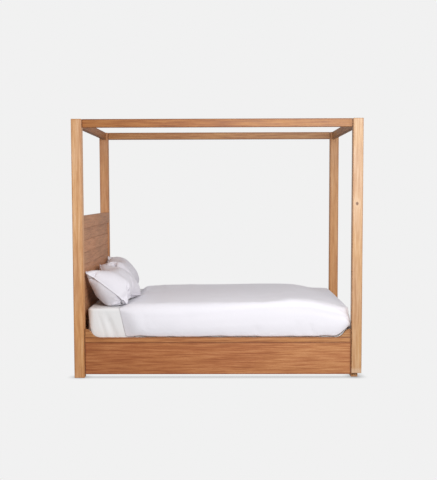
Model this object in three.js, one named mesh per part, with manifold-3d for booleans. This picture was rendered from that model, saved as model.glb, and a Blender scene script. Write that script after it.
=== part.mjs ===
// Four poster canopy bed: a timber frame with a boarded headboard, a slatted base and its bedding.
// Millimetres, +Z up. +X runs from the head of the bed to its foot and +Y to the right, as seen from
// the foot. The origin is on the floor, under the middle of the frame.
import * as THREE from 'three';
import { mergeVertices } from 'three/addons/utils/BufferGeometryUtils.js';
import Module from 'manifold-3d';

const wasm = await Module();
wasm.setup();

// Mattress: the frame is built around it
const mattressLength = 2030;
const mattressWidth = 1520;
const mattressThick = 268;
const mattressCorner = 60; // corner radius in plan
const mattressEdge = 28; // radius along the top and bottom edges
const mattressEndGap = 17; // to the posts' inner faces
const mattressSideGap = 13; // to the side rails

// Posts
const frameHeight = 1990;
const postSide = 78;
const timberArris = 3; // softened long edges of every timber
const endBevel = 1.5; // softened ends of posts, blocks and legs
const footBlockHeight = 36;
const footBlockLength = 52; // along the bed
const footBlockWidth = 100;
const footBlockInset = 2; // from the post's inner face
const footBlockRecess = 46; // from the posts' outer faces

// Canopy
const canopyDepth = 64;
const canopyThick = 34;
const canopyInset = 28; // from the posts' outer faces
const canopyEndGap = 4; // shadow line beside the posts, round a stub tenon
const tenonShoulder = 8;

// Side rails and foot panel
const railThick = 28;
const railRecess = 18; // from the posts' outer faces
const railBottom = 25;
const railCapTop = 312;
const railCapDepth = 39;
const railCapProud = 2; // past the panel's outer face
const railEndGap = 4; // shadow line beside the posts
const cornerLength = 104; // curved corner brackets
const cornerRise = 66;

// Headboard
const headboardTop = 1252;
const headboardRailDepth = 97;
const headboardThick = 40;
const headboardRecess = 10; // of the boards behind the rail's front face
const boardPitch = 96; // nearest whole number of boards fills the height
const boardThick = 20;
const headCrossBottom = 195;
const headCrossDepth = 96;

// Slatted base
const mattressSink = 45; // mattress underside below the tops of the side rails
const slatThick = 18;
const slatWidth = 90;
const slatCount = 12;
const slatEndSpace = 45; // from the mattress's end to the first slat's middle
const ledgerThick = 28;
const ledgerDepth = 34;
const beamWidth = 60;
const beamDepth = 40;
const hangerPlate = 3;
const hangerReach = 40;
const hangerClear = 0.6; // around the beam
const legSide = 50;
const legSpacing = 700;

// Levelling feet
const glideRadius = 20;
const glideThick = 8;
const glideEdge = 2;
const collarRadius = 9;
const collarThick = 6;
const studRadius = 4;
const studLength = 42;
const studClear = 0.4; // radial, in the leg's bore
const studEndClear = 3; // above the stud's end

// Steel corner brackets behind the rails
const angleLeg = 60; // along the rail
const anglePostLeg = 29; // across the post
const angleHeight = 110;
const anglePlate = 3;
const angleBottom = 80;
const angleHoleRadius = 4.5;
const angleHoleInset = 26; // from the bracket's ends

// Bedding
const duvetThick = 56; // on top of the mattress
const duvetDrop = 38; // thickness of the sides that hang
const duvetHeadSpace = 262; // from the mattress's head end
const duvetHem = 4; // above the side rail's cap
const duvetShoulder = 78;
const duvetHeadEdge = 50;
const pillowWidth = 680;
const pillowHeight = 420;
const pillowThick = 225;
const pillowGap = 50; // between the two pillows
const pillowLean = 49; // degrees from lying flat
const softClear = 3; // between a soft piece and what it lies against

// Everywhere
const touch = 0.4; // clearance between touching pieces
const roundSides = 12; // facets of a turned or drilled shape

const postInX = mattressLength / 2 + mattressEndGap;
const postOutX = postInX + postSide;
const railIn = mattressWidth / 2 + mattressSideGap;
const railOut = railIn + railThick;
const postOutY = railOut + railRecess;
const postInY = postOutY - postSide;
const frameLength = 2 * postOutX;
const frameWidth = 2 * postOutY;
const slatTop = railCapTop - mattressSink;
const slatBottom = slatTop - slatThick;
const ledgerBottom = slatBottom - touch - ledgerDepth;
const beamTop = slatBottom - touch;
const beamBottom = beamTop - beamDepth;
const mattressBottom = slatTop + touch;
const mattressTop = mattressBottom + mattressThick;

const finishes = {
  post: { color: 0xdba674, roughness: 0.5, metalness: 0 },
  rail: { color: 0xb57f55, roughness: 0.5, metalness: 0 },
  cap: { color: 0xc8925c, roughness: 0.5, metalness: 0 },
  board: { color: 0xa87c60, roughness: 0.55, metalness: 0 },
  slat: { color: 0xd9bd93, roughness: 0.65, metalness: 0 },
  steel: { color: 0x1c1c1e, roughness: 0.45, metalness: 0 },
  glide: { color: 0x2b2b2c, roughness: 0.5, metalness: 0 },
  sheet: { color: 0xdedcda, roughness: 0.9, metalness: 0 },
  cover: { color: 0xf4f3f7, roughness: 0.9, metalness: 0 },
};

const group = new THREE.Group();

// Puts a named piece into the bed.
function addPiece(name, geometry, finish, place = [0, 0, 0], turn = [0, 0, 0]) {
  const mesh = new THREE.Mesh(geometry, new THREE.MeshStandardMaterial(finishes[finish]));
  mesh.name = name;
  mesh.position.set(...place);
  mesh.rotation.set(...turn);
  group.add(mesh);
}

// Rectangle centred on the origin, with round corners.
function roundRectangle(width, height, radius) {
  const x = width / 2 - radius;
  const y = height / 2 - radius;
  const outline = new THREE.Shape();
  outline.absarc(x, y, radius, 0, Math.PI / 2);
  outline.absarc(-x, y, radius, Math.PI / 2, Math.PI);
  outline.absarc(-x, -y, radius, Math.PI, Math.PI * 1.5);
  outline.absarc(x, -y, radius, Math.PI * 1.5, Math.PI * 2);
  return outline;
}

// Extrudes an outline by a depth, centred on the outline's plane.
function extrude(outline, depth, bevel = 0, curveSegments = 1) {
  const geometry = new THREE.ExtrudeGeometry(outline, {
    depth: depth - 2 * bevel,
    bevelEnabled: bevel > 0,
    bevelThickness: bevel,
    bevelSize: bevel,
    bevelOffset: -bevel,
    bevelSegments: 1,
    curveSegments,
  });
  return geometry.translate(0, 0, bevel - depth / 2);
}

// Length of timber between pairs of faces, its grain along one axis and its long edges softened.
function timberShape(grain, [x0, x1], [y0, y1], [z0, z1], bevel = 0) {
  const [dx, dy, dz] = [x1 - x0, y1 - y0, z1 - z0];
  const sections = { x: [dz, dy, dx], y: [dx, dz, dy], z: [dx, dy, dz] };
  const [width, height, length] = sections[grain];
  const geometry = extrude(roundRectangle(width, height, timberArris), length, bevel);
  if (grain === 'x') geometry.rotateY(Math.PI / 2);
  if (grain === 'y') geometry.rotateX(Math.PI / 2);
  return geometry.translate((x0 + x1) / 2, (y0 + y1) / 2, (z0 + z1) / 2);
}

function timber(name, grain, x, y, z, finish, bevel = 0) {
  addPiece(name, timberShape(grain, x, y, z, bevel), finish);
}

// Closed three.js geometry to solid and back, for cuts and joins.
function toSolid(geometry) {
  const bare = geometry.clone();
  bare.deleteAttribute('normal');
  bare.deleteAttribute('uv');
  const merged = mergeVertices(bare);
  return new wasm.Manifold(new wasm.Mesh({
    numProp: 3,
    vertProperties: new Float32Array(merged.attributes.position.array),
    triVerts: new Uint32Array(merged.index.array),
  }));
}

function fromSolid(solid) {
  const mesh = solid.getMesh();
  const geometry = new THREE.BufferGeometry();
  geometry.setAttribute('position', new THREE.BufferAttribute(mesh.vertProperties, 3));
  geometry.setIndex(new THREE.BufferAttribute(mesh.triVerts, 1));
  geometry.computeVertexNormals();
  return geometry;
}

function block([x0, x1], [y0, y1], [z0, z1]) {
  const geometry = new THREE.BoxGeometry(x1 - x0, y1 - y0, z1 - z0);
  return geometry.translate((x0 + x1) / 2, (y0 + y1) / 2, (z0 + z1) / 2);
}

// The pair [from, to] in ascending order on one side of the bed: side -1 mirrors it.
function onSide(side, from, to) {
  return side > 0 ? [from, to] : [-to, -from];
}

const ends = [['head', -1], ['foot', 1]];
const sides = [['left', -1], ['right', 1]];

// Posts, with the foot posts standing on small blocks
function addPosts() {
  for (const [end, endSide] of ends) {
    for (const [side, sideSide] of sides) {
      const bottom = end === 'foot' ? footBlockHeight + touch : 0;
      timber(`post_${end}_${side}`, 'z', onSide(endSide, postInX, postOutX),
        onSide(sideSide, postInY, postOutY), [bottom, frameHeight], 'post', endBevel);
    }
  }
  const blockX = postInX + footBlockInset;
  const blockOut = postOutY - footBlockRecess;
  for (const [side, sideSide] of sides) {
    timber(`foot_block_${side}`, 'z', [blockX, blockX + footBlockLength],
      onSide(sideSide, blockOut - footBlockWidth, blockOut), [0, footBlockHeight], 'post', endBevel);
  }
}

// Timber between two faces, shortened at both ends but for the stub tenons that reach them.
function tenoned(name, grain, x, y, z, finish) {
  const spans = { x, y, z };
  const core = {};
  const shell = {};
  for (const [axis, [from, to]] of Object.entries(spans)) {
    const along = axis === grain;
    core[axis] = along ? [from, to] : [from + tenonShoulder, to - tenonShoulder];
    shell[axis] = along ? [from + canopyEndGap, to - canopyEndGap] : [from, to];
  }
  const body = toSolid(timberShape(grain, shell.x, shell.y, shell.z));
  addPiece(name, fromSolid(body.add(toSolid(block(core.x, core.y, core.z)))), finish);
}

// Canopy rails between the post tops
function addCanopy() {
  const rise = [frameHeight - canopyDepth, frameHeight];
  for (const [side, sideSide] of sides) {
    const outer = postOutY - canopyInset;
    tenoned(`canopy_rail_${side}`, 'x', [touch - postInX, postInX - touch],
      onSide(sideSide, outer - canopyThick, outer), rise, 'cap');
  }
  for (const [end, endSide] of ends) {
    const outer = postOutX - canopyInset;
    tenoned(`canopy_rail_${end}`, 'y', onSide(endSide, outer - canopyThick, outer),
      [touch - postInY, postInY - touch], rise, 'cap');
  }
}

// Headboard: top rail, level boards set back behind its face, and the lower rail that carries them
function addHeadboard() {
  const face = -postInX;
  const across = [touch - postInY, postInY - touch];
  const railBottomZ = headboardTop - headboardRailDepth;
  const crossTop = headCrossBottom + headCrossDepth;
  timber('headboard_top_rail', 'y', [face - headboardThick, face], across,
    [railBottomZ, headboardTop], 'board');
  timber('headboard_lower_rail', 'y', [face - headboardThick, face], across,
    [headCrossBottom, crossTop], 'board');
  const count = Math.round((railBottomZ - crossTop) / boardPitch);
  const pitch = (railBottomZ - crossTop) / count;
  const front = face - headboardRecess;
  for (let i = 0; i < count; i += 1) {
    const top = railBottomZ - i * pitch;
    timber(`headboard_board_${i + 1}`, 'y', [front - boardThick, front], across,
      [top - pitch + touch / 2, top - touch / 2], 'board');
  }
}

// Outline of a curved corner bracket: foot of the curve at the origin, back against the post.
function cornerOutline(length, rise) {
  const tip = 2; // blunt end of the curve
  const outline = new THREE.Shape();
  outline.moveTo(0, 0);
  outline.lineTo(length, 0);
  outline.lineTo(length, rise);
  outline.bezierCurveTo(length / 2, rise, length / 2, tip, 0, tip);
  return outline;
}

// Side rails with their caps and curved corner brackets, and the foot panel with its cap
function addRails() {
  const panel = [railBottom, railCapTop - railCapDepth - touch];
  const cap = [railCapTop - railCapDepth, railCapTop];
  const along = [railEndGap - postInX, postInX - railEndGap];
  for (const [side, sideSide] of sides) {
    timber(`side_rail_${side}`, 'x', along, onSide(sideSide, railIn, railOut), panel, 'rail');
    timber(`side_rail_cap_${side}`, 'x', along,
      onSide(sideSide, railIn, railOut + railCapProud), cap, 'cap');
    for (const [end, endSide] of ends) {
      const bracket = extrude(cornerOutline(cornerLength, cornerRise), railThick, 0, 10);
      bracket.rotateX(Math.PI / 2);
      if (endSide < 0) bracket.rotateZ(Math.PI);
      addPiece(`corner_bracket_${end}_${side}`, bracket, 'cap', [
        endSide * (along[1] - cornerLength), sideSide * (railIn + railThick / 2), railCapTop + touch]);
    }
  }
  const footOut = postOutX - railRecess;
  const across = [railEndGap - postInY, postInY - railEndGap];
  timber('foot_panel', 'y', [footOut - railThick, footOut], across,
    [footBlockHeight + touch, panel[1]], 'rail');
  timber('foot_panel_cap', 'y', [footOut - railThick, footOut + railCapProud], across, cap, 'cap');
}

// Slats on their ledgers
function addSlats() {
  const reach = railIn - touch;
  const first = slatEndSpace - mattressLength / 2;
  const pitch = (-2 * first) / (slatCount - 1);
  for (let i = 0; i < slatCount; i += 1) {
    const middle = first + i * pitch;
    timber(`slat_${i + 1}`, 'y', [middle - slatWidth / 2, middle + slatWidth / 2], [-reach, reach],
      [slatBottom, slatTop], 'slat');
  }
  for (const [side, sideSide] of sides) {
    timber(`slat_ledger_${side}`, 'x', [touch - postInX, postInX - touch],
      onSide(sideSide, reach - ledgerThick, reach), [ledgerBottom, ledgerBottom + ledgerDepth], 'slat');
  }
}

// U-shaped steel hanger under one end of the centre beam, its back against the cross rail
function hangerGeometry() {
  const inner = beamWidth / 2 + hangerClear;
  const outer = inner + hangerPlate;
  const floor = -beamDepth - hangerClear;
  const outline = new THREE.Shape();
  outline.moveTo(-outer, 0);
  outline.lineTo(-outer, floor - hangerPlate);
  outline.lineTo(outer, floor - hangerPlate);
  outline.lineTo(outer, 0);
  outline.lineTo(inner, 0);
  outline.lineTo(inner, floor);
  outline.lineTo(-inner, floor);
  outline.lineTo(-inner, 0);
  const cradle = extrude(outline, hangerReach).rotateX(Math.PI / 2).rotateZ(Math.PI / 2);
  const back = block([-hangerReach / 2, hangerPlate - hangerReach / 2], [-outer, outer],
    [floor - hangerPlate, 0]);
  return fromSolid(toSolid(cradle).add(toSolid(back)));
}

// Centre beam in its hangers, and the legs under it
function addBeam() {
  const headFace = -postInX;
  const footFace = postOutX - railRecess - railThick;
  const endClear = hangerPlate + 2 * touch;
  timber('centre_beam', 'x', [headFace + endClear, footFace - endClear],
    [-beamWidth / 2, beamWidth / 2], [beamBottom, beamTop], 'slat');
  addPiece('beam_hanger_head', hangerGeometry(), 'steel',
    [headFace + touch + hangerReach / 2, 0, beamTop - touch]);
  addPiece('beam_hanger_foot', hangerGeometry(), 'steel',
    [footFace - touch - hangerReach / 2, 0, beamTop - touch], [0, 0, Math.PI]);
  for (const i of [1, 2]) {
    addLeg(i, (i - 1.5) * legSpacing);
  }
}

// Centre leg bored for its stud, and the levelling foot wound right in
function addLeg(i, x) {
  const bottom = glideThick + collarThick + touch;
  const top = beamBottom - touch;
  const stem = extrude(roundRectangle(legSide, legSide, timberArris), top - bottom, endBevel);
  const boreDepth = studLength + studEndClear;
  const boreRadius = studRadius + studClear;
  const bore = new THREE.CylinderGeometry(boreRadius, boreRadius, 2 * boreDepth, roundSides);
  bore.rotateX(Math.PI / 2).translate(0, 0, -(top - bottom) / 2);
  addPiece(`centre_leg_${i}`, fromSolid(toSolid(stem).subtract(toSolid(bore))), 'slat',
    [x, 0, (top + bottom) / 2]);
  const shoulder = glideThick + collarThick;
  const profile = [[0, 0], [glideRadius - glideEdge, 0], [glideRadius, glideEdge],
    [glideRadius, glideThick], [collarRadius, glideThick], [collarRadius, shoulder],
    [studRadius, shoulder], [studRadius, shoulder + studLength], [0, shoulder + studLength]];
  const foot = new THREE.LatheGeometry(profile.map(([r, z]) => new THREE.Vector2(r, z)), roundSides);
  addPiece(`levelling_foot_${i}`, foot.rotateX(Math.PI / 2), 'glide', [x, 0, 0]);
}

// Steel angles in the corners behind the side rails, drilled for two screws in the rail's leg
function addAngles() {
  for (const [end, endSide] of ends) {
    for (const [side, sideSide] of sides) {
      const railFace = railIn - touch;
      const postFace = postInX - touch;
      const rise = [angleBottom, angleBottom + angleHeight];
      const railLeg = block(onSide(endSide, postFace - angleLeg, postFace),
        onSide(sideSide, railFace - anglePlate, railFace), rise);
      const postLeg = block(onSide(endSide, postFace - anglePlate, postFace),
        onSide(sideSide, railFace - anglePostLeg, railFace), rise);
      let angle = toSolid(railLeg).add(toSolid(postLeg));
      for (const z of [rise[0] + angleHoleInset, rise[1] - angleHoleInset]) {
        const hole = new THREE.CylinderGeometry(angleHoleRadius, angleHoleRadius, 4 * anglePlate,
          roundSides);
        hole.translate(endSide * (postFace - angleLeg / 2), sideSide * (railFace - anglePlate / 2), z);
        angle = angle.subtract(toSolid(hole));
      }
      addPiece(`rail_angle_${end}_${side}`, fromSolid(angle), 'steel');
    }
  }
}

// Box with a rounded plan and rounded long edges: the part that three crossed outlines share.
function softBox(length, width, height, corner, edge) {
  const plan = extrude(roundRectangle(length, width, corner), height, 0, 3);
  const side = extrude(roundRectangle(length, height, edge), width, 0, 2).rotateX(Math.PI / 2);
  const cross = extrude(roundRectangle(height, width, edge), length, 0, 2).rotateY(Math.PI / 2);
  return toSolid(plan).intersect(toSolid(side)).intersect(toSolid(cross));
}

function addMattress() {
  const mattress = softBox(mattressLength, mattressWidth, mattressThick, mattressCorner, mattressEdge);
  addPiece('mattress', fromSolid(mattress), 'sheet', [0, 0, (mattressBottom + mattressTop) / 2]);
}

// Duvet seen from the side, rounded at its head edge and over the foot, and grown by a clearance
function duvetOutline(grow) {
  const hem = railCapTop + duvetHem - grow;
  const top = mattressTop + touch + duvetThick + grow;
  const head = duvetHeadSpace - mattressLength / 2 - grow;
  const foot = mattressLength / 2 + touch + duvetDrop + grow;
  const shoulder = duvetShoulder + grow;
  const headEdge = duvetHeadEdge + grow;
  const outline = new THREE.Shape();
  outline.moveTo(head, hem);
  outline.lineTo(foot, hem);
  outline.absarc(foot - shoulder, top - shoulder, shoulder, 0, Math.PI / 2);
  outline.absarc(head + headEdge, top - headEdge, headEdge, Math.PI / 2, Math.PI);
  return outline;
}

// Duvet seen from the foot, rounded over both sides
function duvetCrossOutline() {
  const hem = railCapTop + duvetHem;
  const top = mattressTop + touch + duvetThick;
  const half = mattressWidth / 2 + touch + duvetDrop;
  const outline = new THREE.Shape();
  outline.moveTo(half, hem);
  outline.absarc(half - duvetShoulder, top - duvetShoulder, duvetShoulder, 0, Math.PI / 2);
  outline.absarc(duvetShoulder - half, top - duvetShoulder, duvetShoulder, Math.PI / 2, Math.PI);
  outline.lineTo(-half, hem);
  return outline;
}

// Duvet: a cover over the mattress that hangs at both sides and at the foot, cut back round the foot
// posts and the curved corner brackets
function addDuvet() {
  const alongY = extrude(duvetOutline(0), frameWidth, 0, 3).rotateX(Math.PI / 2);
  const alongX = extrude(duvetCrossOutline(), frameLength, 0, 3).rotateX(Math.PI / 2).rotateZ(Math.PI / 2);
  const inside = extrude(roundRectangle(mattressLength + 2 * touch, mattressWidth + 2 * touch,
    mattressCorner), mattressThick, 0, 3).translate(0, 0, mattressTop + touch - mattressThick / 2);
  let duvet = toSolid(alongY).intersect(toSolid(alongX)).subtract(toSolid(inside));
  for (const [, side] of sides) {
    const post = block([postInX - softClear, postOutX], onSide(side, postInY - softClear, postOutY),
      [0, frameHeight]);
    const reach = cornerLength + duvetHem + railEndGap;
    const bracket = extrude(cornerOutline(reach, cornerRise + 2 * duvetHem),
      railThick + 2 * softClear, 0, 10).rotateX(Math.PI / 2);
    bracket.translate(postInX - reach, side * (railIn + railThick / 2), railCapTop + touch);
    duvet = duvet.subtract(toSolid(post)).subtract(toSolid(bracket));
  }
  addPiece('duvet', fromSolid(duvet), 'cover');
}

// Plump pillow: a ball drawn out to a rectangle with full corners, thin at its seam.
function pillowGeometry() {
  const geometry = new THREE.SphereGeometry(1, 20, 10);
  const place = geometry.attributes.position;
  const point = new THREE.Vector3();
  const squareness = 0.45;
  for (let i = 0; i < place.count; i += 1) {
    point.fromBufferAttribute(place, i);
    const reach = Math.min(1, Math.hypot(point.x, point.z));
    const turn = Math.atan2(point.z, point.x);
    const across = Math.sign(Math.cos(turn)) * Math.abs(Math.cos(turn)) ** squareness;
    const along = Math.sign(Math.sin(turn)) * Math.abs(Math.sin(turn)) ** squareness;
    place.setXYZ(i, (across * reach * pillowHeight) / 2, (along * reach * pillowWidth) / 2,
      (-point.y * pillowThick) / 2);
  }
  return geometry;
}

// Two pillows side by side, leaning on the headboard, and flat where they rest on the mattress and
// meet the duvet's head edge
function addPillows() {
  const lean = THREE.MathUtils.degToRad(pillowLean);
  const headFace = softClear - postInX;
  const rest = mattressTop + softClear;
  const room = block([headFace, 0], [-postInY, postInY], [rest, frameHeight]);
  const duvetEdge = extrude(duvetOutline(softClear), frameWidth, 0, 3).rotateX(Math.PI / 2);
  const space = toSolid(room).subtract(toSolid(duvetEdge));
  for (const [name, side] of sides) {
    const pillow = pillowGeometry().rotateY(lean);
    pillow.translate(headFace + (pillowHeight / 2) * Math.cos(lean), side * (pillowGap + pillowWidth) / 2,
      mattressTop + (pillowHeight / 2) * Math.sin(lean));
    addPiece(`pillow_${name}`, fromSolid(toSolid(pillow).intersect(space)), 'cover');
  }
}

addPosts();
addCanopy();
addHeadboard();
addRails();
addSlats();
addBeam();
addAngles();
addMattress();
addDuvet();
addPillows();

export default group;
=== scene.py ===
import math

import bmesh
import bpy
import numpy as np
from mathutils import Matrix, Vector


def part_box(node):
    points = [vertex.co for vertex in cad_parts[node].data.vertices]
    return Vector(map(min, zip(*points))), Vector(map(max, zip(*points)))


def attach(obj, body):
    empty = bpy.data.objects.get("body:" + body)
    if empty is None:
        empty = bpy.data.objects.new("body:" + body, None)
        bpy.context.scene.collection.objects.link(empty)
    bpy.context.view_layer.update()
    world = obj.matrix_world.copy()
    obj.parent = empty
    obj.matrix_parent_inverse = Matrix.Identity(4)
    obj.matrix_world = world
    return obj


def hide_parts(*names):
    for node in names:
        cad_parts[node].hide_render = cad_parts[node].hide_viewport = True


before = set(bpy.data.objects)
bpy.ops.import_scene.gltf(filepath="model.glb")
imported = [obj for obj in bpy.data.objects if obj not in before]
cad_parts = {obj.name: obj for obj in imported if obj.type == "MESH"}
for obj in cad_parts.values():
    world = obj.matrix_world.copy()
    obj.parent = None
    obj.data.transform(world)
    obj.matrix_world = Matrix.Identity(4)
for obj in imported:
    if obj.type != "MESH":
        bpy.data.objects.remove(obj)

scene = bpy.context.scene
scene.view_settings.view_transform = "Standard"
scene.cycles.use_denoising = True
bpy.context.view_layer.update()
print("frame loaded:", len(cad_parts), "nodes")


# camera, lights, floor

cameraSettings = {
    "place": (0.077, -7.836, 1.412),
    "pitchDown": 0.0775,  # angles in radians
    "yaw": 0.0098,
    "roll": -0.0028,
    "lens": 68.86,
    "sensor": 36.0,
    "shiftY": 0.0545,
}


def addCamera(s):
    data = bpy.data.cameras.new("camera")
    data.lens = s["lens"]
    data.sensor_width = s["sensor"]
    data.shift_y = s["shiftY"]
    camera = bpy.data.objects.new("camera", data)
    turn = Matrix.Rotation(s["yaw"], 4, "Z") @ Matrix.Rotation(math.pi / 2 - s["pitchDown"], 4, "X")
    camera.matrix_world = Matrix.Translation(s["place"]) @ turn @ Matrix.Rotation(s["roll"], 4, "Z")
    scene.collection.objects.link(camera)
    scene.camera = camera


# two soft boxes: sizes in metres, power in watts
lightSettings = {
    "key": {"place": (0.95, -4.0, 1.95), "aim": (0.0, 0.0, 1.0), "size": (1.5, 1.3), "power": 106.0},
    "rim": {"place": (4.4, -4.2, 2.4), "aim": (0.6, 0.0, 1.1), "size": (2.0, 2.0), "power": 34.0},
}


def addLights(settings):
    # each lamp is turned from level to face its aim: up by the slope to it, round by its bearing
    for name, s in settings.items():
        data = bpy.data.lights.new(name, "AREA")
        data.shape = "RECTANGLE"
        data.size, data.size_y = s["size"]
        data.energy = s["power"]
        lamp = bpy.data.objects.new(name, data)
        place = np.array(s["place"])
        reach = np.array(s["aim"]) - place
        flat = math.hypot(reach[0], reach[1])
        lamp.visible_camera = False
        lamp.location = place
        lamp.rotation_euler = (math.pi / 2 + math.atan2(reach[2], flat), 0.0,
                               math.atan2(-reach[0], reach[1]))
        scene.collection.objects.link(lamp)


studioSettings = {
    "paper": 0.8796,  # the even tone of floor and backdrop
    "roomTint": (1.0, 0.985, 1.0, 1.0),
    "roomLight": 0.53,
    "floorBounce": 0.30,
    "paintedShadowReach": 0.07,  # the floor's painted contact shadow reaches this far from what stands on it
    "paintedShadowDepth": 0.75,
    "contactSamples": 16,
    "floorSize": 60.0,
}


def addNode(tree, kind, links=None, **settings):
    # a node with its properties set; links gives a socket's value or the socket that feeds it
    node = tree.nodes.new(kind)
    for key, value in settings.items():
        setattr(node, key, value)
    for key, value in (links or {}).items():
        socket = node.inputs[key]
        if isinstance(value, bpy.types.NodeSocket):
            tree.links.new(value, socket)
        else:
            socket.default_value = value
    return node


def maths(tree, operation, *values):
    node = addNode(tree, "ShaderNodeMath", dict(enumerate(values)), operation=operation)
    return node.outputs[0]


def vectorMaths(tree, operation, *values):
    node = addNode(tree, "ShaderNodeVectorMath", dict(enumerate(values)), operation=operation)
    return node.outputs[0]


def mixColours(tree, factor, first, second, blend="MIX"):
    node = addNode(tree, "ShaderNodeMix", data_type="RGBA", blend_type=blend)
    for socket, value in zip((node.inputs[0], node.inputs[6], node.inputs[7]), (factor, first, second)):
        if isinstance(value, bpy.types.NodeSocket):
            tree.links.new(value, socket)
        else:
            socket.default_value = value
    return node.outputs[2]


def addStudio(s):
    # an even backdrop and floor for the camera, the floor with a painted contact shadow, and a dimmer
    # room for every other ray
    world = bpy.data.worlds.new("studio")
    scene.world = world
    world.use_nodes = True
    tree = world.node_tree
    tree.nodes.clear()
    grey = (s["paper"], s["paper"], s["paper"], 1.0)
    seen = addNode(tree, "ShaderNodeBackground", {"Color": grey, "Strength": 1.0})
    lit = addNode(tree, "ShaderNodeBackground", {"Color": s["roomTint"], "Strength": s["roomLight"]})
    rays = addNode(tree, "ShaderNodeLightPath")
    both = addNode(tree, "ShaderNodeMixShader", {0: rays.outputs["Is Camera Ray"],
                                                 1: lit.outputs[0], 2: seen.outputs[0]})
    addNode(tree, "ShaderNodeOutputWorld", {"Surface": both.outputs[0]})

    half = s["floorSize"] / 2
    mesh = bpy.data.meshes.new("floor")
    mesh.from_pydata([(-half, -half, 0), (half, -half, 0), (half, half, 0), (-half, half, 0)], [],
                     [(0, 1, 2, 3)])
    floor = bpy.data.objects.new("floor", mesh)
    scene.collection.objects.link(floor)
    material = bpy.data.materials.new("paperFloor")
    material.use_nodes = True
    tree = material.node_tree
    tree.nodes.clear()
    # painted contact shadow: the floor's glow dimmed by ambient occlusion near what stands on it
    nearness = addNode(tree, "ShaderNodeAmbientOcclusion", {"Distance": s["paintedShadowReach"]},
                       samples=s["contactSamples"])
    depth = maths(tree, "MULTIPLY_ADD", nearness.outputs["AO"], s["paintedShadowDepth"], 1 - s["paintedShadowDepth"])
    rays = addNode(tree, "ShaderNodeLightPath")
    shown = addNode(tree, "ShaderNodeEmission", {"Color": grey, "Strength": depth})
    bounced = addNode(tree, "ShaderNodeEmission", {"Color": (1, 1, 1, 1), "Strength": s["floorBounce"]})
    both = addNode(tree, "ShaderNodeMixShader", {0: rays.outputs["Is Camera Ray"],
                                                 1: bounced.outputs[0], 2: shown.outputs[0]})
    addNode(tree, "ShaderNodeOutputMaterial", {"Surface": both.outputs[0]})
    mesh.materials.append(material)


addCamera(cameraSettings)
addLights(lightSettings)
addStudio(studioSettings)
print("camera, lights and floor set")


# shared effects, each a node group

def newGroup(name, inputs, outputs):
    tree = bpy.data.node_groups.new(name, "ShaderNodeTree")
    for label, kind in inputs:
        tree.interface.new_socket(label, in_out="INPUT", socket_type="NodeSocket" + kind)
    for label, kind in outputs:
        tree.interface.new_socket(label, in_out="OUTPUT", socket_type="NodeSocket" + kind)
    given = tree.nodes.new("NodeGroupInput").outputs
    result = tree.nodes.new("NodeGroupOutput").inputs
    return tree, given, result


# how often each noise repeats in a metre, along the grain and across it
grainSettings = {
    "drift": (0.8, 3.0, 3.0),
    "swerve": (0.0, 0.016, 0.016),  # how far the drift bends the grain, in metres
    "bandsAlong": 4.5,
    "streaks": (4.2, 150.0, 150.0),
    "fibres": (14.0, 520.0, 520.0),
    "dashes": (45.0, 1100.0, 1100.0),
    "hue": (2.4, 9.0, 9.0),
    "shares": (1.5, 2.3, 1.1),  # how much bands, streaks and fibres count in the tone
    "toneFrom": 0.05,
    "toneTo": 0.85,
    "poreFrom": 0.60,
    "poreTo": 0.72,
    "goldenFrom": 0.42,
    "goldenTo": 0.62,
    "roughness": (0.40, 0.18, 0.2),  # smoothest, added by streaks, added in pores
    "relief": (0.5, -0.8),  # of fibres and pores, where streaks are 1
}


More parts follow.
